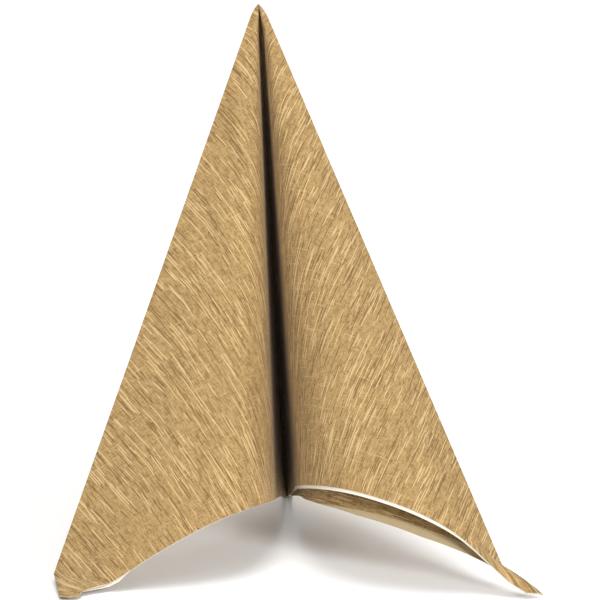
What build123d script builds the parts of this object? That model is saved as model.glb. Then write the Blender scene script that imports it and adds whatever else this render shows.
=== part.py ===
"""A square paper napkin, folded in half and pleated so that it stands as a two-winged tent.

The apex is the middle of the napkin and the table is the plane z = 0. +X points to the right and +Y
away from the front. Every wall is part of a cone about the apex, so it is given by its trace: the line
it would draw if it ran on down to the table, with plan positions measured from below the apex. A wall's
lower edge lies where the flat napkin ends, half a side away from the middle, measured on the paper.
The doubled paper is pinched ever thinner towards the apex, so every level is a scaled copy of the one
below, and the faces between two neighbouring rays are flat. At the end the part is moved to put the
origin at the middle of its base. Sizes are in millimetres.
"""

import os
from math import acos, atan2, cos, pi, sin, sqrt

from build123d import *

# Driving dimensions
napkin_side = 400.0
spine_foot = (11.7, -63.3)

# Traces of the walls on the table, from the spine to the corner that is the wing's foot
left_front = [(10.6, -104.0), (9.8, -148.0), (6.5, -176.0), (-6.0, -196.0), (-27.0, -202.0), (-52.0, -196.0)]
left_foot = (-82.5, -180.3)
left_flap = [(8.6, -104.0), (6.8, -148.0), (2.0, -172.0), (-9.0, -188.5), (-28.0, -194.5), (-52.0, -190.0)]
right_front = [(13.2, -104.0), (15.0, -150.0), (21.0, -182.0), (37.0, -209.0), (61.0, -223.0), (86.0, -219.0)]
right_foot = (103.0, -199.0)
right_flap = [(15.6, -104.0), (18.8, -150.0), (25.0, -174.0), (37.0, -193.0), (56.0, -204.0), (80.0, -206.0)]

# Steps between the edges of the two layers, measured up a wall
front_step = 1.6
flap_step = 1.4
flap_step_at_foot = 4.8

# Thickness and gaps at the table
layer = 0.5
fold_gap = 0.3

# The tip, where all the paper comes together in a small round end
tip_radius = 2.1
tip_drop = 2.0
tip_share = 0.017
tip_centre = (0.2, -2.4)

# The napkin's doubled corners at the feet, as lines across them from one edge to the other. The right
# one lies outward on the table as a narrow leaf, and the left one lies forward.
right_corner = [
    ((96.4, -186.4, 11.4), (96.0, -190.0, 5.5)),
    ((102.7, -190.3, 6.3), (102.7, -192.5, 1.8)),
    ((108.5, -193.5, 3.6), (107.5, -197.0, 1.2)),
    ((113.4, -196.4, 1.0), (110.2, -198.8, 1.0)),
]
left_corner = [
    ((-79.5, -175.0, 4.6), (-64.0, -184.0, 2.0)),
    ((-80.0, -188.0, 2.4), (-68.0, -191.5, 1.4)),
    ((-78.6, -198.6, 1.0), (-72.0, -199.4, 1.0)),
]
corner_layers = 3

# Fineness of the curves
fine_steps = 240
wall_sections = 40
fold_sections = 6

# Derived sizes
reach = napkin_side / 2
fold_radius = layer + fold_gap / 2
apex_height = sqrt(reach**2 - spine_foot[0] ** 2 - spine_foot[1] ** 2)
LEFT = -1
RIGHT = 1


def follow(trace, end_way):
    """Plan points and directions at fine even steps down a trace, which starts straight forward."""
    line = Spline(*trace, tangents=[(0, -1), (end_way.X, end_way.Y)])
    points = [line @ (i / fine_steps) for i in range(fine_steps + 1)]
    ways = [line % (i / fine_steps) for i in range(fine_steps + 1)]
    return points, ways


def section_places(points, ways):
    """The fine steps that get a cross-section, closer together where the trace bends."""
    need = [0.0]
    for i in range(fine_steps):
        turn = acos(min(1.0, ways[i].dot(ways[i + 1])))
        need.append(need[-1] + turn + (points[i + 1] - points[i]).length / reach)
    wanted = [need[-1] * k / wall_sections for k in range(wall_sections + 1)]
    return [min(range(len(need)), key=lambda i: abs(need[i] - goal)) for goal in wanted]


def edge_heights(points):
    """Height of the napkin's cut edge above the table at each point of a trace."""
    rays = [Vector(point.X, point.Y, -apex_height) for point in points]
    angles = [0.0]
    for a, b in zip(rays, rays[1:]):
        angles.append(angles[-1] + acos(min(1.0, a.normalized().dot(b.normalized()))))
    scale = (pi / 4) / angles[-1]
    heights = [apex_height * (1 - reach / cos(angle * scale) / ray.length) for angle, ray in zip(angles, rays)]
    return [max(height, 0) for height in heights]


def cross_section(point, normal, rims):
    """Corners of the sheet cut along one ray, from the printed side's rim round to its tip.

    The rims are pairs of a distance from the sheet's middle along the normal and a height.
    """
    places = [(point + normal * distance, 1 - height / apex_height) for distance, height in rims]
    places += [(place, tip_share) for place in (places[-1][0], places[0][0])]
    return [Vector(place.X * share, place.Y * share, apex_height * (1 - share)) for place, share in places]


def wall(trace, end_way, side, printed_side, step, step_at_foot):
    """Cross-sections of a wall from the spine to the foot. The layer towards the groove ends higher."""
    points, ways = follow(trace, end_way)
    heights = edge_heights(points)
    sections = []
    for i in section_places(points, ways):
        low = heights[i]
        high = low if i in (0, fine_steps) else low + step + (step_at_foot - step) * i / fine_steps
        to_groove = Vector(ways[i].Y, -ways[i].X) * side
        rims = [(layer, high), (0, high), (0, low), (-layer, low)]
        sections.append(cross_section(points[i], to_groove, rims[::printed_side]))
    return sections, heights[0], heights[-1]


def fold(centre, turns, heights, printed_side):
    """Cross-sections round a fold about a centre, without those at its ends, which its walls have."""
    sections = []
    for k in range(1, fold_sections):
        part_way = k / fold_sections
        turn = turns[0] + (turns[1] - turns[0]) * part_way
        height = heights[0] + (heights[1] - heights[0]) * part_way
        out = Vector(cos(turn), sin(turn))
        rims = [(layer, height), (0, height), (0, height), (-layer, height)]
        sections.append(cross_section(centre + out * fold_radius, out, rims[::printed_side]))
    return sections


def wing(front, flap, foot, side):
    """Cross-sections of a wing from the spine round the foot to the flap's end, and the first height."""
    foot_point = Vector(*foot)
    front_way = (foot_point - Vector(*front[-1])).normalized()
    flap_way = (foot_point - Vector(*flap[-1])).normalized()
    front_out = Vector(front_way.Y, -front_way.X) * side
    flap_out = Vector(-flap_way.Y, flap_way.X) * side
    centre = foot_point - front_out * fold_radius
    flap_foot = centre + flap_out * fold_radius
    front_start = (spine_foot[0] + side * fold_radius, spine_foot[1])
    flap_start = (front_start[0] + side * 2 * fold_radius, spine_foot[1])
    front_wall, spine_height, front_height = wall(
        [front_start, *front, foot], front_way, side, 1, front_step, front_step
    )
    flap_wall, _, flap_height = wall(
        [flap_start, *flap, (flap_foot.X, flap_foot.Y)], flap_way, side, -1, flap_step, flap_step_at_foot
    )
    start_turn = atan2(front_out.Y, front_out.X)
    turned = side * (side * (atan2(flap_out.Y, flap_out.X) - start_turn) % (2 * pi))
    foot_fold = fold(centre, (start_turn, start_turn + turned), (front_height, flap_height), 1)
    return [*front_wall, *foot_fold, *flap_wall[::-1]], spine_height


def flat_faces(corners):
    """The ring of corners as one flat face, or as two triangles if it isn't flat."""
    ring = [a for a, b in zip(corners, [corners[-1], *corners]) if a != b]
    if len(ring) < 3:
        return []
    if len(ring) == 4:
        normal = (ring[1] - ring[0]).cross(ring[2] - ring[0]).normalized()
        if not Plane(origin=ring[0], z_dir=normal).contains(ring[3]):
            return flat_faces(ring[:3]) + flat_faces([ring[0], *ring[2:]])
    return [Face(Wire.make_polygon(ring, close=True))]


def sheet_through(sections):
    """The solid that passes through a row of cross-sections."""
    faces = flat_faces(sections[0]) + flat_faces(sections[-1])
    for first, second in zip(sections, sections[1:]):
        for k in range(len(first)):
            faces += flat_faces([first[k - 1], first[k], second[k], second[k - 1]])
    return Solid(Shell(faces))


def folded_corner(lines):
    """A doubled corner of the napkin: a plate that passes through a row of lines across it."""
    ends = [(Vector(*a), Vector(*b)) for a, b in lines]
    middles = [(a + b) / 2 for a, b in ends]
    with BuildPart() as made:
        for k, (a, b) in enumerate(ends):
            way = middles[min(k + 1, len(ends) - 1)] - middles[max(k - 1, 0)]
            across = b - a
            with BuildSketch(Plane(origin=middles[k], x_dir=across, z_dir=across.cross(way).cross(across))):
                Rectangle(across.length, corner_layers * layer)
        loft()
    return made.part


left_wing, left_height = wing(left_front, left_flap, left_foot, LEFT)
right_wing, right_height = wing(right_front, right_flap, right_foot, RIGHT)
spine = fold(Vector(*spine_foot), (pi, 0), (left_height, right_height), -1)
sheet = sheet_through([*left_wing[::-1], *spine, *right_wing])

with BuildPart() as napkin:
    add(sheet)
    with Locations((*tip_centre, apex_height - tip_drop - tip_radius)):
        Sphere(tip_radius)

    for corner in (left_corner, right_corner):
        add(folded_corner(corner))

base = napkin.part.bounding_box()
napkin.part.position = (-base.center().X, -base.center().Y, -base.min.Z)
napkin.part.label = "paper napkin"
os.makedirs("parts", exist_ok=True)
export_step(napkin.part, "parts/napkin.step")
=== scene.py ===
"""A linen-printed paper napkin, folded in half and stood up as a two-winged tent in a studio."""

import math
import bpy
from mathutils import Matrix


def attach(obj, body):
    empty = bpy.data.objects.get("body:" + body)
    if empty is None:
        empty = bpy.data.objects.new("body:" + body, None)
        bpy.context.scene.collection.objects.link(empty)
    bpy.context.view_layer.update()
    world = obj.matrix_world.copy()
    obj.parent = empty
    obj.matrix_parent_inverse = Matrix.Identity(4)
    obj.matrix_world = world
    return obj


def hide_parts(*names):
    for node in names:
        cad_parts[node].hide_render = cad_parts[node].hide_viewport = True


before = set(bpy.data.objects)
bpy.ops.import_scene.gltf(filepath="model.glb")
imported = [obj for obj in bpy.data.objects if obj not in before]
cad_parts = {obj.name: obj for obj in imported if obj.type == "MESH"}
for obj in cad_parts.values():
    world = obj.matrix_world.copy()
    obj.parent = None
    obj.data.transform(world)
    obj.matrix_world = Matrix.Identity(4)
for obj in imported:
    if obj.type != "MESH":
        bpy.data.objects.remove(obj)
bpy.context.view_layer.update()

from types import SimpleNamespace

import bpy
import numpy as np
from bpy.props import FloatProperty, FloatVectorProperty, IntProperty, PointerProperty

bl_info = {
    "name": "Folded Paper Napkin",
    "version": (1, 0, 0),
    "blender": (4, 5, 0),
    "location": "View3D > Sidebar > Napkin",
    "description": "Folds, prints and lights a standing paper napkin",
    "category": "Add Mesh",
}

# Plan places in metres: the tip's in the part's frame, and the spine's foot from below the tip
APEX_PLAN = (-0.015099, 0.099886)
SPINE_FOOT = (0.0117, -0.0633)

# A wing's front and flap are traces: where each wall would meet the table if it ran on down, as
# plan points in metres from below the tip. They are close to the CAD part's, with the groove a
# little wider. Its slacks are pairs of degrees: the angle turned from the spine's crease as seen
# from the tip, and how much more the angle on the paper is there, which a small wrinkle in the
# pleat takes up. A flap without slack shares out what is left of the quarter turn. Its bend is the
# height where the fold turns over at the foot, and its corners are the outlines of the paper past
# that crease, along the cut edge from the napkin's own corner.
LEFT_WING = SimpleNamespace(
    side=-1,
    front=[
        (0.0098, -0.104), (0.0082, -0.148), (0.0048, -0.176),
        (-0.006, -0.196), (-0.027, -0.202), (-0.052, -0.196),
    ],
    foot=(-0.0825, -0.1803),
    flap=[
        (0.0077, -0.104), (0.0051, -0.148), (0.0005, -0.172),
        (-0.009, -0.1885), (-0.028, -0.1945), (-0.052, -0.190),
    ],
    front_slack=[
        (0.0, 0.0), (15.0, 0.8), (23.5, 1.7), (28.5, 2.45),
        (34.0, 2.56), (39.5, 2.66), (41.0, 2.35), (45.55, 1.6),
    ],
    flap_slack=None,
    bend=0.0038,
    corner=[
        (-0.0789, -0.2006, 0.0006), (-0.0755, -0.2018, 0.0006),
        (-0.0721, -0.2018, 0.0006), (-0.0700, -0.1952, 0.0009),
    ],
    flap_corner=[
        (-0.0789, -0.2006, 0.0006), (-0.0786, -0.1930, 0.0007),
        (-0.0784, -0.1850, 0.0010), (-0.0776, -0.1775, 0.0026),
    ],
)
RIGHT_WING = SimpleNamespace(
    side=1,
    front=[
        (0.0149, -0.104), (0.0178, -0.15), (0.0233, -0.182),
        (0.037, -0.209), (0.061, -0.223), (0.086, -0.219),
    ],
    foot=(0.103, -0.199),
    flap=[
        (0.0174, -0.104), (0.0217, -0.15), (0.0271, -0.174),
        (0.037, -0.193), (0.056, -0.204), (0.080, -0.206),
    ],
    front_slack=[
        (0.0, 0.0), (10.0, -1.6), (19.5, -2.5), (25.0, -1.8),
        (30.0, -1.15), (34.7, -0.61), (40.0, -0.3), (44.75, 0.25),
    ],
    flap_slack=[
        (0.0, 0.0), (12.0, 1.2), (22.0, 2.4), (25.7, 3.1),
        (29.5, 3.9), (35.0, 4.0), (39.7, 3.2), (41.19, 3.81),
    ],
    bend=0.0094,
    corner=[
        (0.1139, -0.1975, 0.0005), (0.1093, -0.1993, 0.0005), (0.1067, -0.1990, 0.0016),
        (0.1026, -0.1975, 0.0037), (0.0982, -0.1955, 0.0067),
    ],
    flap_corner=[
        (0.1139, -0.1975, 0.0005), (0.1080, -0.1962, 0.0009),
        (0.1020, -0.1925, 0.0040), (0.0972, -0.1895, 0.0085),
    ],
)

# The walls of a wing in order, and what each has past a foot's crease, in metres: how much lower
# its crease starts, how much higher its outline lies and how far the paper bulges up in between
FRONT, FOOT_FOLD, FLAP = 0, 1, 2
CREASE_DROP = (0.0, 0.0005, 0.0010)
CORNER_LIFT = (0.0010, 0.0006, 0.0)
CORNER_BULGE = (0.0006, 0.0, -0.0012)

# Where something starts and over how much it grows, or fades where that is negative: the steps
# between the layers' edges and the painted shade on the plain side, in radians on the paper
STEP_FROM_SPINE = (0.15, 0.2)
STEP_FROM_FOLD = (0.01, 0.11)
FOOT_STEP_BEFORE_FOLD = 0.068
FOOT_STEP_SPREAD = (0.034, -0.014)
FLAP_STEP_TO_END = (math.pi / 2, -0.12)
FLAP_STEP_FROM_FOLD = (0.0, 0.06)
SHADE_PAST_FOLD = 0.05
SHADE_BY_SPINE = (0.16, 0.12)
SHADE_BY_LEFT_FOLD = (0.035, 0.012)

# The same as shares: from a flap's end to the foot, across a foot's crease, and down from the tip
FLAP_STEP_TO_FOOT = (0.58, 0.30)
CORNER_ACROSS = (1.0, -0.5)
LIP_BELOW_TIP = (0.0, 0.06)

# The same in metres on the traces: forward of the tip, and sideways from the spine
LIP_FORWARD = (0.063, 0.03)
LIP_SIDEWAYS = (0.006, 0.05)

# The mesh: points on a trace, how strongly its bends draw the columns together, the power that
# spaces the rows, the steps round a folded edge, how near the cut edge a crease may come as a
# share of the way, and in metres the lowest outline of a corner, the room over the floor and how
# far the plain side's pole lies under the printed side's. A guard keeps divisions from nothing.
TRACE_POINTS = 2401
BEND_WEIGHT = 0.6
ROW_POWER = 2
EDGE_BENDS = 4
CREASE_LIMIT = 0.985
LOWEST_OUTLINE = 0.0003
FLOOR_GAP = 0.0001
PLAIN_TIP_DROP = 0.0004
TINY = 1e-18
PRINTED, PLAIN = 0, 1

# Threads as marked runs: how many runs fit in a metre, the place where they read the noise, and the
# noise where a mark starts and where it is full
FINE = (260.0, 0.0, 0.34, 0.60)
FINE_CROSS = (500.0, 4.0, 0.34, 0.60)
PALE_SLUBS = (48.0, 9.0, 0.595, 0.635)
DARK_SLUBS = (48.0, 17.0, 0.595, 0.635)
PALE_CROSS = (70.0, 23.0, 0.62, 0.76)
GRAIN = (900.0, 2.0, 0.35, 0.65)
FIBRE = (190.0, 6.0, 0.50, 0.72)

# How far apart neighbouring threads read the noise, and how far along each is moved from the last
THREAD_APART = 7.31
THREAD_STAGGER = 0.618

# How many threads fit side by side in one printed thread's width, or in a metre of the plain side
FINE_COUNT = 1.4
SLUB_COUNT = 1.2
CROSS_COUNT = 1.0
GRAIN_COUNT = 1500.0
FIBRE_COUNT = 1100.0

# The ground's lighter and darker threads as multiples of its colour, how strongly the cross
# threads, the slubs, the grain and the fibres cover what is under them, how deep a dark slub lies,
# and the shade of the pulp's hollows
LIGHTER = (1.34, 1.37, 1.46, 1.0)
DARKER = (0.60, 0.56, 0.47, 1.0)
CROSS_SHARE = 0.42
SLUB_COVER = 0.85
CROSS_SLUB_COVER = 0.35
DARK_SLUB_DEPTH = 0.25
GRAIN_COVER = 0.5
FIBRE_COVER = 0.35
PULP_SHADE = (0.90, 0.88, 0.85, 1.0)

# The studio, in metres: each light has a name, a place, a width and the setting for its power
FLOOR_REACH = 30.0
LIGHTS = (
    ("key light", (1.15, -1.75, 0.95), 0.7, "key"),
    ("fill light", (-1.3, -1.0, 0.8), 1.0, "fill"),
    ("top light", (0.0, 0.2, 1.7), 1.2, "top"),
)
LIGHT_AIM = (0.0, -0.03, 0.08)
CAMERA_AIM = (0.0018, 0.0, 0.0945)
SENSOR_WIDTH = 36.0

# The colour sockets of a Mix node
MIX_SHARE, MIX_FIRST, MIX_SECOND, MIX_RESULT = 0, 6, 7, 2


class NapkinSizes(bpy.types.PropertyGroup):
    side: FloatProperty(
        name="Side", description="Length of the flat napkin's side", default=0.4, unit="LENGTH"
    )
    front_step: FloatProperty(
        name="Front Step",
        description="How much lower the back layer's edge lies on the front walls",
        default=0.0010, unit="LENGTH",
    )
    left_front_step: FloatProperty(
        name="Left Front Step",
        description="The same step on the left wing, where the back layer stays hidden",
        default=-0.0004, unit="LENGTH",
    )
    left_foot_step: FloatProperty(
        name="Left Foot Step", description="The same step next to the left foot",
        default=0.0013, unit="LENGTH",
    )
    flap_step: FloatProperty(
        name="Flap Step", description="How much lower the far layer's edge lies on the flaps",
        default=0.0002, unit="LENGTH",
    )
    flap_step_at_foot: FloatProperty(
        name="Flap Step At Foot", description="The same step next to the foot",
        default=0.0029, unit="LENGTH",
    )
    sheet: FloatProperty(
        name="Sheet", description="Thickness of one layer of paper", default=0.00028, unit="LENGTH"
    )
    gap: FloatProperty(
        name="Gap", description="Room between the two layers", default=0.00012, unit="LENGTH"
    )
    fold_radius: FloatProperty(
        name="Fold Radius", description="Radius of the folds at the table",
        default=0.00065, unit="LENGTH",
    )
    left_crease_span: FloatProperty(
        name="Left Crease Span",
        description="How far round from the fold the left foot's crease still cuts the rays",
        default=0.075, subtype="ANGLE",
    )
    right_crease_span: FloatProperty(
        name="Right Crease Span",
        description="How far round from the fold the right foot's crease still cuts the rays",
        default=0.055, subtype="ANGLE",
    )
    wall_columns: IntProperty(
        name="Wall Columns", description="Columns of faces across each wall", default=72
    )
    fold_columns: IntProperty(
        name="Fold Columns", description="Columns of faces round each fold", default=8
    )
    wall_rows: IntProperty(
        name="Wall Rows", description="Rows of faces from the tip to the crease", default=30
    )
    foot_rows: IntProperty(
        name="Foot Rows", description="Rows of faces from the crease to the edge", default=10
    )
    tip_round: FloatProperty(
        name="Tip Roundness",
        description="How far the pinched paper fills out the tip, as a share of the height",
        default=0.02,
    )
    tip_reach: FloatProperty(
        name="Tip Reach", description="How soon the tip has filled out, as a share of the height",
        default=0.005,
    )
    left_lip: FloatProperty(
        name="Left Lip", description="How far the groove's left lip opens near the top",
        default=0.0006, unit="LENGTH",
    )
    right_lip: FloatProperty(
        name="Right Lip", description="How far the groove's right lip opens near the top",
        default=0.0011, unit="LENGTH",
    )


class LinenPrint(bpy.types.PropertyGroup):
    ground: FloatVectorProperty(
        name="Ground", description="Middle tone of the printed linen", subtype="COLOR", size=4,
        default=(0.350, 0.225, 0.088, 1.0),
    )
    cream: FloatVectorProperty(
        name="Cream Thread", description="Colour of the pale slubs", subtype="COLOR", size=4,
        default=(0.62, 0.44, 0.215, 1.0),
    )
    brown: FloatVectorProperty(
        name="Brown Thread", description="Colour of the dark slubs", subtype="COLOR", size=4,
        default=(0.125, 0.062, 0.016, 1.0),
    )
    plain: FloatVectorProperty(
        name="Plain Side", description="Colour of the unprinted paper", subtype="COLOR", size=4,
        default=(0.74, 0.69, 0.60, 1.0),
    )
    # The plain side's colour in painted shade: by the groove, on the flaps and round the folded
    # edges
    shown_through: FloatVectorProperty(
        name="Painted Shade",
        description="Colour of the unprinted paper in painted shade",
        subtype="COLOR", size=4, default=(0.46, 0.36, 0.21, 1.0),
    )
    thread: FloatProperty(
        name="Thread", description="Width of one printed thread", default=0.00052, unit="LENGTH"
    )


class NapkinStudio(bpy.types.PropertyGroup):
    elevation: FloatProperty(
        name="Camera Elevation", description="Camera's angle above the horizon",
        default=math.radians(17.1), subtype="ANGLE",
    )
    distance: FloatProperty(
        name="Camera Distance", description="Distance to the napkin", default=10.0, unit="LENGTH"
    )
    view_width: FloatProperty(
        name="View Width", description="Width of the view at the napkin",
        default=0.2415, unit="LENGTH",
    )
    key: FloatProperty(
        name="Key Light", description="Power of the soft light at the right",
        default=37.0, unit="POWER",
    )
    fill: FloatProperty(
        name="Fill Light", description="Power of the soft light at the left",
        default=8.0, unit="POWER",
    )
    top: FloatProperty(
        name="Top Light", description="Power of the soft light overhead", default=19.0, unit="POWER"
    )
    room: FloatProperty(name="Room", description="Strength of the pale surroundings", default=0.42)
    floor: FloatVectorProperty(
        name="Floor", description="Colour of the floor", subtype="COLOR", size=4,
        default=(0.96, 0.96, 0.96, 1.0),
    )


def ease(x, start, growth):
    """Eased step 3t^2 - 2t^3, where t = (x - start) / growth is held between 0 and 1.

    A negative growth gives a step that falls to 0 at the start.
    """
    t = np.clip((x - start) / growth, 0.0, 1.0)
    return t * t * (3.0 - 2.0 * t)


def running_sum(values):
    """Sum of the values up to each place, from 0 before the first."""
    return np.concatenate([[0.0], np.cumsum(values)])


def unit_2d(v):
    """The vector over its own length."""
    v = np.asarray(v, float)
    return v / np.linalg.norm(v)


def line_at(points, share):
    """Point at each share of a line's length, with straight runs between its points."""
    p = np.array(points, float)
    run = running_sum(np.linalg.norm(np.diff(p, axis=0), axis=1))
    return np.column_stack([np.interp(share * run[-1], run, p[:, k]) for k in range(3)])


def curve_through(points, last_way):
    """Cubic spline through the points, by chord length, from straight forward to last_way.

    The slopes at the points solve the usual three-term system, and each span is a Hermite cubic.
    """
    p = np.array(points, float)
    n = len(p)
    step = np.diff(p, axis=0)
    chord = np.linalg.norm(step, axis=1)
    knots = running_sum(chord)
    before, after = 1.0 / chord[:-1], 1.0 / chord[1:]
    inner = np.arange(1, n - 1)
    a = np.eye(n)
    a[inner, inner - 1], a[inner, inner + 1] = before, after
    a[inner, inner] = 2.0 * (before + after)
    b = np.zeros_like(p)
    b[1:-1] = 3.0 * (step[:-1] * before[:, None] ** 2 + step[1:] * after[:, None] ** 2)
    b[0], b[-1] = (0.0, -1.0), last_way
    slope = np.linalg.solve(a, b)
    at = np.linspace(0.0, knots[-1], TRACE_POINTS)
    span = np.clip(np.searchsorted(knots, at, side="right") - 1, 0, n - 2)
    h = chord[span][:, None]
    t = ((at - knots[span])[:, None]) / h
    return (
        (2 * t**3 - 3 * t**2 + 1) * p[span] + (t**3 - 2 * t**2 + t) * h * slope[span]
        + (3 * t**2 - 2 * t**3) * p[span + 1] + (t**3 - t**2) * h * slope[span + 1]
    )


def even_angles(trace, height, count):
    """Trace points closer together where the trace bends, and the angle from its start to each one.

    The angle is the running sum of the angles between neighbouring rays from the tip.
    """
    rays = np.column_stack([trace, np.full(len(trace), -height)])
    unit = rays / np.linalg.norm(rays, axis=1)[:, None]
    total = running_sum(np.arccos(np.clip((unit[1:] * unit[:-1]).sum(axis=1), -1.0, 1.0)))
    bend = running_sum(np.linalg.norm(np.diff(np.gradient(trace, axis=0), axis=0), axis=1))
    weight = total / total[-1] + BEND_WEIGHT * bend / bend[-1]
    places = np.arange(len(trace))
    spot = np.interp(np.linspace(0.0, weight[-1], count), weight, places)
    points = np.column_stack([np.interp(spot, places, trace[:, k]) for k in (0, 1)])
    return points, np.interp(spot, places, total)


def paper_angle(turned, slack):
    """Angle on the flat paper: the angle turned plus the slack, straight between its points."""
    at, extra = np.radians(np.array(slack)).T
    return turned + np.interp(turned, at, extra)


def fold_arc(centre, radius, start, turn, count):
    """Points on an arc about a centre, without its two ends: centre + radius (cos, sin)."""
    angle = start + turn * np.linspace(0.0, 1.0, count + 1)[1:-1]
    return np.asarray(centre) + radius * np.column_stack([np.cos(angle), np.sin(angle)])


def wing_rays(wing, height, size):
    """A wing's rays from the spine round the foot to the flap's end.

    Gives their plan points, their angles on the paper, the wall that each lies on and the angle on
    the paper of the foot's fold, which is an arc about a centre one fold radius inside the foot.
    """
    side, radius = wing.side, size.fold_radius
    foot = np.array(wing.foot)
    front_way, flap_way = unit_2d(foot - wing.front[-1]), unit_2d(foot - wing.flap[-1])
    front_out = np.array([front_way[1], -front_way[0]]) * side
    flap_out = np.array([-flap_way[1], flap_way[0]]) * side
    centre = foot - front_out * radius
    flap_foot = centre + flap_out * radius
    front_start = np.array(SPINE_FOOT) + (side * radius, 0.0)
    flap_start = np.array(SPINE_FOOT) + (side * 3 * radius, 0.0)
    front_line = curve_through([front_start, *wing.front, foot], front_way)
    flap_line = curve_through([flap_start, *wing.flap, flap_foot], flap_way)
    front_points, front_turned = even_angles(front_line, height, size.wall_columns + 1)
    flap_points, flap_turned = even_angles(flap_line, height, size.wall_columns + 1)
    front_angles = paper_angle(front_turned, wing.front_slack)
    fold = front_angles[-1]
    if wing.flap_slack:
        flap_angles = paper_angle(flap_turned, wing.flap_slack)
    else:
        flap_angles = flap_turned * (math.pi / 2 - fold) / flap_turned[-1]
    first, last = (math.atan2(out[1], out[0]) for out in (front_out, flap_out))
    turn = side * ((side * (last - first)) % (2 * math.pi))
    arc = fold_arc(centre, radius, first, turn, size.fold_columns)
    points = np.concatenate([front_points, arc, flap_points[::-1]])
    flap_angles = math.pi / 2 - flap_angles[::-1]
    angles = np.concatenate([front_angles, np.full(len(arc), fold), flap_angles])
    wall = np.repeat([FRONT, FOOT_FOLD, FLAP], [len(front_points), len(arc), len(flap_points)])
    return points, angles * side, wall, fold


def cut_edge(side, angle):
    """Cut edge's distance on the paper: half a side over the larger of the cosine and |sine|."""
    return side / 2 / np.maximum(np.cos(angle), np.abs(np.sin(angle)))


def half_sheet(size):
    """Rays across one doubled half of the napkin, from the left flap's end to the right flap's end.

    Each has its run from the tip to its wall's trace and that run's length, its angle on the paper
    and the angle of its wing's fold, its wall, and the distance on the paper to the cut edge
    (reach) and to the foot's crease. The crease is straight on the paper, so one over that distance
    changes evenly across its span, from the bend at the fold to the cut edge.
    """
    height = math.sqrt((size.side / 2) ** 2 - SPINE_FOOT[0] ** 2 - SPINE_FOOT[1] ** 2)
    left_points, left_angles, left_wall, left_fold = wing_rays(LEFT_WING, height, size)
    right_points, right_angles, right_wall, right_fold = wing_rays(RIGHT_WING, height, size)
    spine = fold_arc(SPINE_FOOT, size.fold_radius, math.pi, -math.pi, size.fold_columns)
    points = np.concatenate([left_points[::-1], spine, right_points])
    angle = np.concatenate([left_angles[::-1], np.zeros(len(spine)), right_angles])
    wall = np.concatenate([left_wall[::-1], np.full(len(spine), FRONT), right_wall])
    left = np.arange(len(points)) < len(left_points)
    run = np.column_stack([points, np.full(len(points), -height)])
    length = np.linalg.norm(run, axis=1)
    fold = np.where(left, left_fold, right_fold)
    off_axis = np.abs(angle)
    past_fold = np.abs(off_axis - fold)

    span = np.where(left, size.left_crease_span, size.right_crease_span)
    across = np.clip(past_fold / span, 0.0, 1.0)
    bend = np.where(left, LEFT_WING.bend, RIGHT_WING.bend) - np.take(CREASE_DROP, wall)
    at_fold = length * (1 - bend / height)
    at_span = cut_edge(size.side, fold + np.where(wall == FRONT, -span, span))
    crease = 1.0 / (1.0 / at_fold + (1.0 / at_span - 1.0 / at_fold) * across)
    return SimpleNamespace(
        height=height, run=run, length=length, angle=angle, off_axis=off_axis, left=left, wall=wall,
        fold=fold, past_fold=past_fold, span=span, across=across, crease=crease,
        reach=cut_edge(size.side, angle),
    )


def layer_step(rays, size):
    """How much further than the first layer the second one reaches, measured on the paper.

    The first layer lies on the groove's side of the front walls and on the far side of the flaps.
    The steps grow from the spine, the folds and the flaps' ends.
    """
    near_foot = ease(np.abs(rays.off_axis - rays.fold + FOOT_STEP_BEFORE_FOLD), *FOOT_STEP_SPREAD)
    left_step = size.left_front_step + (size.left_foot_step - size.left_front_step) * near_foot
    front_step = np.where(rays.left, left_step, size.front_step)
    front_ease = ease(rays.off_axis, *STEP_FROM_SPINE) * ease(rays.past_fold, *STEP_FROM_FOLD)
    flap_share = np.clip((math.pi / 2 - rays.off_axis) / (math.pi / 4), 0.0, 1.0)
    to_foot = ease(flap_share, *FLAP_STEP_TO_FOOT)
    flap_step = size.flap_step + (size.flap_step_at_foot - size.flap_step) * to_foot
    flap_ease = ease(rays.off_axis, *FLAP_STEP_TO_END) * ease(rays.past_fold, *FLAP_STEP_FROM_FOLD)
    step = np.choose(rays.wall, [front_step * front_ease, 0.0, -flap_step * flap_ease])
    return step * rays.length / rays.height


def plain_side_shade(rays):
    """Painted shade on the plain side, 0 to 1 for each ray: full by the groove, on the flaps and by
    the left fold.
    """
    shaded = ease(rays.off_axis, rays.fold, SHADE_PAST_FOLD) + 1.0
    shaded -= ease(rays.off_axis, *SHADE_BY_SPINE)
    shaded += np.where(rays.left, 1.0 - ease(rays.past_fold, *SHADE_BY_LEFT_FOLD), 0.0)
    return np.minimum(shaded, 1.0)


def on_the_walls(rays, r, size):
    """Points of the walls at the distances r on the paper, and how far each fills out its level.

    Point = tip + q (trace point - tip), where q is r over the ray's length. Sideways q gives way to
    q + a (1 - q) (1 - e^(-q/b)), which fills out the tip, and the groove's lips move apart by up to
    a lip's width, less towards the table.
    """
    q = r / rays.length[:, None]
    fill = q + size.tip_round * (1 - q) * (1 - np.exp(-q / size.tip_reach))
    lip = ease(-rays.run[:, 1], *LIP_FORWARD)
    lip *= 1.0 - ease(np.abs(rays.run[:, 0] - SPINE_FOOT[0]), *LIP_SIDEWAYS)
    lip *= np.where(rays.left, -size.left_lip, size.right_lip)
    x = rays.run[:, None, 0] * fill + lip[:, None] * ease(q, *LIP_BELOW_TIP) * (1 - q)
    y = rays.run[:, None, 1] * fill
    return np.stack([x, y, rays.height * (1 - q)], axis=-1), fill


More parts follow.
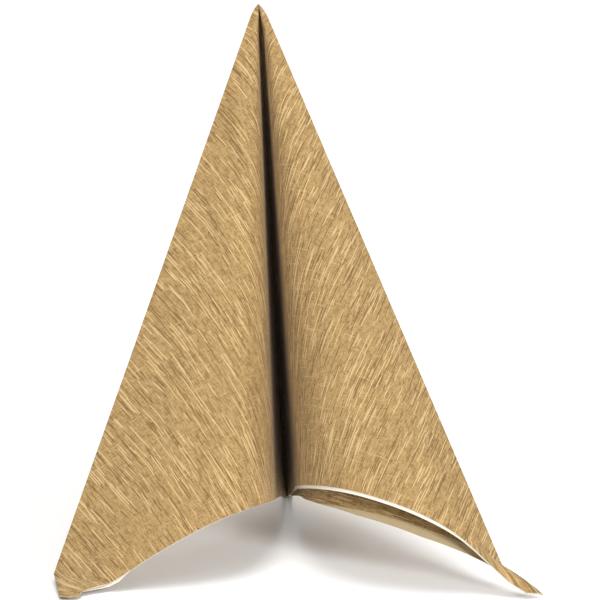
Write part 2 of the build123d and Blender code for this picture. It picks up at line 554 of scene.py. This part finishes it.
def turn_out_corners(grid, rays, past, crease_row):
    """Lays the paper past each foot's crease down to its corner's outline.

    Point = crease + v (outline - crease), raised by bulge sin(pi v) + lift v, where v is how far
    past the crease it lies, from 0 to 1 at the cut edge. The outline joins the wall's own edge
    where the crease ends.
    """
    edge = grid[:, -1].copy()
    edge[:, 2] = np.maximum(edge[:, 2], LOWEST_OUTLINE)
    outline = edge.copy()
    for wing, on_wing in ((LEFT_WING, rays.left), (RIGHT_WING, ~rays.left)):
        walls = ((wing.corner, rays.wall < FLAP), (wing.flap_corner, rays.wall == FLAP))
        for corner, on_wall in walls:
            here = np.flatnonzero(on_wing & on_wall)
            joined = edge[here[np.argmin(np.abs(rays.past_fold[here] - rays.span[here]))]]
            near = here[rays.across[here] < 1.0]
            outline[near] = line_at([*corner, joined], rays.across[near])
    v = np.where(rays.across[:, None] < 1.0, np.clip(past, 0.0, 1.0), 0.0)
    crease = grid[:, crease_row, None]
    turned = crease + (outline[:, None] - crease) * v[:, :, None]
    inward = ease(rays.across, *CORNER_ACROSS)
    lift, bulge = (np.take(values, rays.wall) * inward for values in (CORNER_LIFT, CORNER_BULGE))
    turned[:, :, 2] += bulge[:, None] * np.sin(math.pi * v) + lift[:, None] * v
    return np.where((v > 0)[:, :, None], turned, grid)


def layer_faces(rays, reach, lifts, size):
    """The faces of one layer as rays by rows, one for each lift, and the distance r on the paper.

    The rows run from the tip to the crease and on to the cut edge. A face lies off the layer's
    surface by its lift along the unit normals, pinched together towards the tip.
    """
    crease = np.minimum(rays.crease, CREASE_LIMIT * reach)
    on_wall = np.linspace(0.0, 1.0, size.wall_rows + 1)[1:] ** ROW_POWER
    on_corner = np.linspace(0.0, 1.0, size.foot_rows + 1)[1:]
    beyond = (reach - crease)[:, None]
    r = np.concatenate([crease[:, None] * on_wall, crease[:, None] + beyond * on_corner], axis=1)
    grid, fill = on_the_walls(rays, r, size)
    grid = turn_out_corners(grid, rays, (r - crease[:, None]) / beyond, size.wall_rows - 1)
    normal = np.cross(np.gradient(grid, axis=1), np.gradient(grid, axis=0))
    normal = normal / np.maximum(np.linalg.norm(normal, axis=2)[:, :, None], TINY)
    pinch = np.minimum(fill, 1.0)[:, :, None]
    return [grid + normal * lift * pinch for lift in lifts], r


def turn_over(start, before, goal):
    """Rays on a half circle round a folded edge, from one layer's last ray to the other layer's.

    Point = middle + arm cos(t) + out sin(t). The arm runs from the middle to the start, and out is
    as long, at right angles to it and away from the ray before the start.
    """
    middle, arm = (start + goal) / 2, (start - goal) / 2
    way = start - before
    along_arm = (way * arm).sum(axis=1) / np.maximum((arm * arm).sum(axis=1), TINY)
    square = way - arm * along_arm[:, None]
    out = square / np.maximum(np.linalg.norm(square, axis=1), TINY)[:, None]
    out = out * np.linalg.norm(arm, axis=1)[:, None]
    t = (math.pi * np.arange(1, EDGE_BENDS) / EDGE_BENDS)[:, None, None]
    return middle + arm * np.cos(t) + out * np.sin(t)


def all_round(first, right_edge, second, left_edge):
    """Closed ring: the first layer, the right folded edge, the second layer back, the left edge."""
    return np.concatenate([first, right_edge, second[::-1], left_edge])


def napkin_rings(size):
    """The doubled sheet as closed rings of rays by rows.

    Gives the printed and the plain ring, the angle and the distance r on the paper, how much
    painted shade darkens the plain side, full round the folded edges, and the tip's height.
    """
    rays = half_sheet(size)
    outer, inner = size.gap / 2 + size.sheet, size.gap / 2
    second_reach = rays.reach + layer_step(rays, size)
    first_faces, first_r = layer_faces(rays, rays.reach, (outer, inner), size)
    second_faces, second_r = layer_faces(rays, second_reach, (-outer, -inner), size)
    printed, plain = (
        all_round(first, turn_over(first[-1], first[-2], second[-1]),
                  second, turn_over(second[0], second[1], first[0]))
        for first, second in zip(first_faces, second_faces)
    )
    bends = EDGE_BENDS - 1
    quarter = np.full(bends, math.pi / 2)
    angle = all_round(rays.angle, quarter, math.pi - rays.angle, -quarter)
    r = all_round(
        first_r, np.repeat(first_r[-1:], bends, axis=0),
        second_r, np.repeat(first_r[:1], bends, axis=0),
    )
    shaded = np.repeat(plain_side_shade(rays)[:, None], r.shape[1], axis=1)
    fully_shaded = np.ones((bends, r.shape[1]))
    return printed, plain, angle, r, all_round(shaded, fully_shaded, shaded, fully_shaded), rays.height


def sheet_faces(around, rows):
    """Faces of the closed sheet, their material slots and the vertices of its cut edge.

    A vertex's number is its ray times the rows, plus its row. The plain ring follows the printed
    one, and the two poles at the tip come last.
    """
    ring = around * rows
    i = np.arange(around)
    j = (i + 1) % around
    k = np.arange(rows - 1)
    a, b = ((n[:, None] * rows + k[None, :]).ravel() for n in (i, j))
    outside = np.column_stack([a, a + 1, b + 1, b])
    inside = np.column_stack([a, b, b + 1, a + 1]) + ring
    last_i, last_j = i * rows + rows - 1, j * rows + rows - 1
    edge = np.column_stack([last_i, last_i + ring, last_j + ring, last_j])
    top = np.column_stack([i * rows, j * rows, np.full(around, 2 * ring)])
    under = np.column_stack([j * rows + ring, i * rows + ring, np.full(around, 2 * ring + 1)])
    parts = (outside, inside, edge, top, under)
    slots = np.repeat([PRINTED, PLAIN, PLAIN, PRINTED, PLAIN], [len(part) for part in parts])
    faces = [face for part in parts for face in part.tolist()]
    return faces, slots, np.concatenate([last_i, last_i + ring])


def make_napkin_mesh(size):
    """Mesh of the closed sheet: the printed and the plain ring, a cut edge between them, two poles.

    Flat-sheet coordinates are (r sin(angle), r cos(angle)) from the napkin's middle, kept as a UV
    map over the whole side.
    """
    printed, plain, angle, r, shaded, height = napkin_rings(size)
    poles = [[0, 0, height], [0, 0, height - PLAIN_TIP_DROP]]
    vertices = np.concatenate([printed.reshape(-1, 3), plain.reshape(-1, 3), poles])
    vertices[:, :2] += APEX_PLAN
    vertices[:, 2] = np.maximum(vertices[:, 2], FLOOR_GAP)
    faces, slots, cut_vertices = sheet_faces(*r.shape)
    mesh = bpy.data.meshes.new("napkin_sheet")
    mesh.from_pydata(vertices.tolist(), [], faces)
    mesh.polygons.foreach_set("material_index", slots)
    mesh.polygons.foreach_set("use_smooth", np.ones(len(faces), bool))

    flat = np.stack([r * np.sin(angle)[:, None], r * np.cos(angle)[:, None]], axis=-1)
    flat = flat.reshape(-1, 2) / size.side + 0.5
    per_vertex = np.concatenate([flat, flat, [[0.5, 0.5]], [[0.5, 0.5]]])
    corners = np.empty(len(mesh.loops), int)
    mesh.loops.foreach_get("vertex_index", corners)
    uv = mesh.uv_layers.new(name="FlatSheet")
    uv.data.foreach_set("uv", per_vertex[corners].ravel())
    # The plain side's painted shade, from 0 to 1 at each point
    shading = mesh.attributes.new("shown_through", "FLOAT", "POINT")
    shading.data.foreach_set("value", np.concatenate([shaded.ravel(), shaded.ravel(), [0.0, 0.0]]))

    sharp = mesh.attributes.new("sharp_edge", "BOOLEAN", "EDGE")
    pairs = np.empty(len(mesh.edges) * 2, int)
    mesh.edges.foreach_get("vertices", pairs)
    at_cut = np.zeros(len(vertices), bool)
    at_cut[cut_vertices] = True
    sharp.data.foreach_set("value", at_cut[pairs.reshape(-1, 2)].all(axis=1))
    mesh.validate()
    return mesh


def node(tree, kind, place, sockets=(), **facts):
    """Node of a kind at a place. Each socket named gets a value, or a link from another node's."""
    made = tree.nodes.new(kind)
    made.location = place
    for key, value in facts.items():
        setattr(made, key, value)
    for key, value in dict(sockets).items():
        if isinstance(value, bpy.types.NodeSocket):
            tree.links.new(value, made.inputs[key])
        else:
            made.inputs[key].default_value = value
    return made


def math_node(tree, operation, place, *values):
    return node(tree, "ShaderNodeMath", place, enumerate(values), operation=operation).outputs[0]


def blend_colour(tree, place, share, first, second, kind="MIX"):
    sockets = {MIX_SHARE: share, MIX_FIRST: first, MIX_SECOND: second}
    made = node(tree, "ShaderNodeMix", place, sockets, data_type="RGBA", blend_type=kind)
    return made.outputs[MIX_RESULT]


def thread_group():
    """Node group: threads side by side, each marked in runs where its own noise is high."""
    tree = bpy.data.node_groups.new("Thread Runs", "ShaderNodeTree")
    new_socket = tree.interface.new_socket
    new_socket(name="Vector", in_out="INPUT", socket_type="NodeSocketVector")
    defaults = {"Across": 1900.0, "Along": 60.0, "Offset": 0.0, "Low": 0.5, "High": 0.7}
    for name, value in defaults.items():
        made = new_socket(name=name, in_out="INPUT", socket_type="NodeSocketFloat")
        made.default_value = value
    for name in ("Mask", "Value"):
        new_socket(name=name, in_out="OUTPUT", socket_type="NodeSocketFloat")

    given = node(tree, "NodeGroupInput", (-900, 0)).outputs
    split = node(tree, "ShaderNodeSeparateXYZ", (-700, 100), {0: given["Vector"]})
    x = math_node(tree, "MULTIPLY", (-600, 160), split.outputs[0], given["Across"])
    thread = math_node(tree, "FLOOR", (-450, 160), x)
    apart = math_node(tree, "MULTIPLY", (-300, 160), thread, THREAD_APART)
    y = math_node(tree, "MULTIPLY", (-600, 0), split.outputs[1], given["Along"])
    stagger = math_node(tree, "MULTIPLY", (-450, 0), thread, THREAD_STAGGER)
    y = math_node(tree, "ADD", (-300, 0), y, stagger)
    spot = node(tree, "ShaderNodeCombineXYZ", (-150, 100), {0: apart, 1: y, 2: given["Offset"]})
    noise = node(tree, "ShaderNodeTexNoise", (0, 100), {
        "Vector": spot.outputs[0], "Scale": 1.0, "Detail": 1.0, "Roughness": 0.45,
    }).outputs[0]
    mark = node(tree, "ShaderNodeMapRange", (150, 100), {
        "Value": noise, "From Min": given["Low"], "From Max": given["High"],
    }, interpolation_type="SMOOTHSTEP").outputs[0]
    place = math_node(tree, "FRACT", (-450, -160), x)
    off_middle = math_node(tree, "SUBTRACT", (-300, -160), place, 0.5)
    off_middle = math_node(tree, "ABSOLUTE", (-150, -160), off_middle)
    rounded = node(tree, "ShaderNodeMapRange", (0, -160), {
        "Value": off_middle, "From Min": 0.5, "From Max": 0.25,
    }, interpolation_type="SMOOTHSTEP").outputs[0]
    node(tree, "NodeGroupOutput", (500, 0), {
        "Mask": math_node(tree, "MULTIPLY", (300, 100), mark, rounded),
        "Value": math_node(tree, "MULTIPLY", (300, -100), noise, rounded),
    })
    return tree


def place_threads(tree, group, vector, place, across, threads):
    """Threads that lie along the vector's y, side by side across its x, as a group's outputs."""
    sockets = dict(zip(("Along", "Offset", "Low", "High"), threads))
    sockets.update({"Vector": vector, "Across": across})
    return node(tree, "ShaderNodeGroup", place, sockets, node_tree=group).outputs


def sheet_coordinates(tree, side):
    """Flat coordinates in metres from the napkin's UV map, and the same a quarter turn round."""
    uv = node(tree, "ShaderNodeUVMap", (-1700, 0), uv_map="FlatSheet")
    metres = node(tree, "ShaderNodeMapping", (-1500, 0), {
        "Vector": uv.outputs[0],
        "Location": (-side / 2, -side / 2, 0.0),
        "Scale": (side, side, 1.0),
    }, vector_type="POINT").outputs[0]
    turned = node(tree, "ShaderNodeMapping", (-1500, -300), {
        "Vector": metres, "Rotation": (0.0, 0.0, math.pi / 2),
    }, vector_type="POINT").outputs[0]
    return metres, turned


def new_paper(name):
    """Material with an empty node tree."""
    made = bpy.data.materials.new(name)
    made.use_nodes = True
    made.node_tree.nodes.clear()
    return made, made.node_tree


def paper_shader(tree, colour, relief, bump, sheen_map, roughness, looks):
    """Surface of a paper, from its colour, a relief to emboss and a map of its sheen.

    The bump is its (strength, depth), and the map moves the roughness between its two values.
    """
    strength, depth = bump
    raised = node(tree, "ShaderNodeBump", (150, -100), {
        "Height": relief, "Strength": strength, "Distance": depth,
    })
    low, high = roughness
    rough = node(tree, "ShaderNodeMapRange", (150, 60), {
        "Value": sheen_map, "To Min": low, "To Max": high,
    })
    shader = node(tree, "ShaderNodeBsdfPrincipled", (400, 200), {
        "Base Color": colour, "Roughness": rough.outputs[0], "Normal": raised.outputs[0], **looks,
    })
    node(tree, "ShaderNodeOutputMaterial", (700, 200), {"Surface": shader.outputs[0]})


def printed_paper(side, print_, group):
    """Printed side: a tan ground with fine threads both ways, long pale and dark slubs one way."""
    made, tree = new_paper("printed linen paper")
    along, cross = sheet_coordinates(tree, side)
    width = 1.0 / print_.thread
    fine, fine_cross, pale, dark, pale_cross = (
        place_threads(tree, group, vector, (-1200, 500 - 200 * k), width * count, threads)
        for k, (vector, count, threads) in enumerate((
            (along, FINE_COUNT, FINE), (cross, FINE_COUNT, FINE_CROSS),
            (along, SLUB_COUNT, PALE_SLUBS), (along, SLUB_COUNT, DARK_SLUBS),
            (cross, CROSS_COUNT, PALE_CROSS),
        ))
    )
    lighter, darker = (
        tuple(min(1.0, c * f) for c, f in zip(print_.ground, factors))
        for factors in (LIGHTER, DARKER)
    )
    colour = blend_colour(tree, (-850, 500), fine["Mask"], darker, lighter)
    woven = blend_colour(tree, (-850, 300), fine_cross["Mask"], darker, lighter)
    colour = blend_colour(tree, (-650, 400), CROSS_SHARE, colour, woven)
    for k, (slubs, cover, thread_colour) in enumerate((
        (dark, SLUB_COVER, print_.brown), (pale, SLUB_COVER, print_.cream),
        (pale_cross, CROSS_SLUB_COVER, print_.cream),
    )):
        share = math_node(tree, "MULTIPLY", (-850, 100 - 200 * k), slubs["Mask"], cover)
        colour = blend_colour(tree, (-450 + 200 * k, 300), share, colour, thread_colour)

    broad = node(tree, "ShaderNodeTexNoise", (-1200, -500), {
        "Vector": along, "Scale": 28.0, "Detail": 2.0,
    })
    tone = node(tree, "ShaderNodeMapRange", (-850, -500), {
        "Value": broad.outputs[0], "To Min": 0.95, "To Max": 1.05,
    }).outputs[0]
    grey = node(tree, "ShaderNodeCombineColor", (-600, -500), {slot: tone for slot in range(3)})
    colour = blend_colour(tree, (150, 300), 1.0, colour, grey.outputs[0], "MULTIPLY")

    hollow = math_node(tree, "MULTIPLY", (-450, -200), dark["Mask"], DARK_SLUB_DEPTH)
    relief = math_node(tree, "SUBTRACT", (-300, -100), fine["Value"], hollow)
    relief = math_node(tree, "ADD", (-100, -100), relief, fine_cross["Value"])
    paper_shader(tree, colour, relief, (0.22, 0.00012), fine["Value"], (0.72, 0.90), {
        "Specular IOR Level": 0.25, "Sheen Weight": 0.08, "Sheen Roughness": 0.5,
    })
    return made


def plain_paper(side, print_, group):
    """Unprinted side: off-white pulp, tan where painted shade falls, with a fine embossed grid and
    faint fibres.
    """
    made, tree = new_paper("unprinted paper")
    along, cross = sheet_coordinates(tree, side)
    grain = place_threads(tree, group, along, (-1200, 300), GRAIN_COUNT, GRAIN)
    fibre = place_threads(tree, group, cross, (-1200, 0), FIBRE_COUNT, FIBRE)
    # Painted shade: the pulp's colour goes over to the tan shade colour where the attribute is high
    shading = node(tree, "ShaderNodeAttribute", (-1200, 500), attribute_name="shown_through")
    shading = shading.outputs["Fac"]
    pulp_and_shade = blend_colour(tree, (-900, 500), shading, print_.plain, print_.shown_through)
    shade = blend_colour(tree, (-750, 500), 1.0, pulp_and_shade, PULP_SHADE, "MULTIPLY")
    share = math_node(tree, "MULTIPLY", (-900, 300), grain["Mask"], GRAIN_COVER)
    colour = blend_colour(tree, (-600, 300), share, pulp_and_shade, shade)
    share = math_node(tree, "MULTIPLY", (-900, 0), fibre["Mask"], FIBRE_COVER)
    colour = blend_colour(tree, (-400, 300), share, colour, shade)
    relief = math_node(tree, "ADD", (-600, 0), grain["Value"], fibre["Value"])
    paper_shader(tree, colour, relief, (0.3, 0.0001), grain["Value"], (0.82, 0.95), {
        "Specular IOR Level": 0.2,
    })
    return made


def put(scene, name, data):
    """Object that holds the data, in the scene's own collection."""
    made = bpy.data.objects.new(name, data)
    scene.collection.objects.link(made)
    return made


def lay_floor(scene, studio):
    """A flat square floor about the origin, painted with the studio's pale colour."""
    mesh = bpy.data.meshes.new("studio_floor")
    square = ((-1, -1), (1, -1), (1, 1), (-1, 1))
    corners = [(x * FLOOR_REACH, y * FLOOR_REACH, 0) for x, y in square]
    mesh.from_pydata(corners, [], [(0, 1, 2, 3)])
    floor = put(scene, "studio_floor", mesh)
    paint = bpy.data.materials.new("pale floor")
    paint.use_nodes = True
    shader = paint.node_tree.nodes["Principled BSDF"]
    shader.inputs["Base Color"].default_value = studio.floor
    shader.inputs["Roughness"].default_value = 0.9
    shader.inputs["Specular IOR Level"].default_value = 0.1
    mesh.materials.append(paint)


def hang_lights(scene, studio):
    """A white room and round soft lights, each turned towards the napkin."""
    world = bpy.data.worlds.new("pale room")
    world.use_nodes = True
    background = world.node_tree.nodes["Background"]
    background.inputs["Color"].default_value = (1.0, 1.0, 1.0, 1.0)
    background.inputs["Strength"].default_value = studio.room
    scene.world = world
    for name, place, width, setting in LIGHTS:
        lamp = bpy.data.lights.new(name, "AREA")
        lamp.shape = "DISK"
        lamp.size = width
        lamp.energy = getattr(studio, setting)
        held = put(scene, name, lamp)
        held.location = place
        aim = np.array(LIGHT_AIM) - np.array(place)
        tilt = math.atan2(math.hypot(aim[0], aim[1]), -aim[2])
        held.rotation_euler = (tilt, 0.0, math.atan2(-aim[0], aim[1]))


def aim_camera(scene, studio):
    """Camera at the studio's distance and elevation, with the lens for the view's width there."""
    eye = bpy.data.cameras.new("camera")
    eye.sensor_width = SENSOR_WIDTH
    eye.lens = SENSOR_WIDTH * studio.distance / studio.view_width
    eye.clip_end = 200.0
    camera = put(scene, "camera", eye)
    x, y, z = CAMERA_AIM
    back = studio.distance * math.cos(studio.elevation)
    camera.location = (x, y - back, z + studio.distance * math.sin(studio.elevation))
    camera.rotation_euler = (math.pi / 2 - studio.elevation, 0.0, 0.0)
    scene.camera = camera


class FoldNapkin(bpy.types.Operator):
    """Folds the napkin's sheet and gives it its printed and plain sides"""

    bl_idname = "napkin.fold_sheet"
    bl_label = "Fold The Napkin"

    def execute(self, context):
        size = context.scene.napkin_sizes
        print_ = context.scene.linen_print
        mesh = make_napkin_mesh(size)
        napkin = put(context.scene, "folded_napkin", mesh)
        group = thread_group()
        mesh.materials.append(printed_paper(size.side, print_, group))
        mesh.materials.append(plain_paper(size.side, print_, group))
        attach(napkin, "root")
        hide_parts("napkin")
        return {"FINISHED"}


class SetNapkinStage(bpy.types.Operator):
    """Lays the pale floor, hangs the soft lights and aims the camera"""

    bl_idname = "napkin.set_stage"
    bl_label = "Set The Stage"

    def execute(self, context):
        scene = context.scene
        studio = scene.napkin_studio
        scene.view_settings.view_transform = "Standard"
        lay_floor(scene, studio)
        hang_lights(scene, studio)
        aim_camera(scene, studio)
        return {"FINISHED"}


class NapkinPanel(bpy.types.Panel):
    bl_idname = "VIEW3D_PT_folded_napkin"
    bl_label = "Folded Napkin"
    bl_space_type = "VIEW_3D"
    bl_region_type = "UI"
    bl_category = "Napkin"

    def draw(self, context):
        layout = self.layout
        scene = context.scene
        for group in (scene.napkin_sizes, scene.linen_print, scene.napkin_studio):
            box = layout.box()
            for name in group.__annotations__:
                box.prop(group, name)
        layout.operator(FoldNapkin.bl_idname)
        layout.operator(SetNapkinStage.bl_idname)


CLASSES = (NapkinSizes, LinenPrint, NapkinStudio, FoldNapkin, SetNapkinStage, NapkinPanel)


def register():
    for made in CLASSES:
        bpy.utils.register_class(made)
    bpy.types.Scene.napkin_sizes = PointerProperty(type=NapkinSizes)
    bpy.types.Scene.linen_print = PointerProperty(type=LinenPrint)
    bpy.types.Scene.napkin_studio = PointerProperty(type=NapkinStudio)


def unregister():
    del bpy.types.Scene.napkin_studio
    del bpy.types.Scene.linen_print
    del bpy.types.Scene.napkin_sizes
    for made in reversed(CLASSES):
        bpy.utils.unregister_class(made)


def main():
    register()
    bpy.ops.napkin.set_stage()
    bpy.ops.napkin.fold_sheet()
    bpy.context.view_layer.update()


if __name__ == "__main__":
    main()
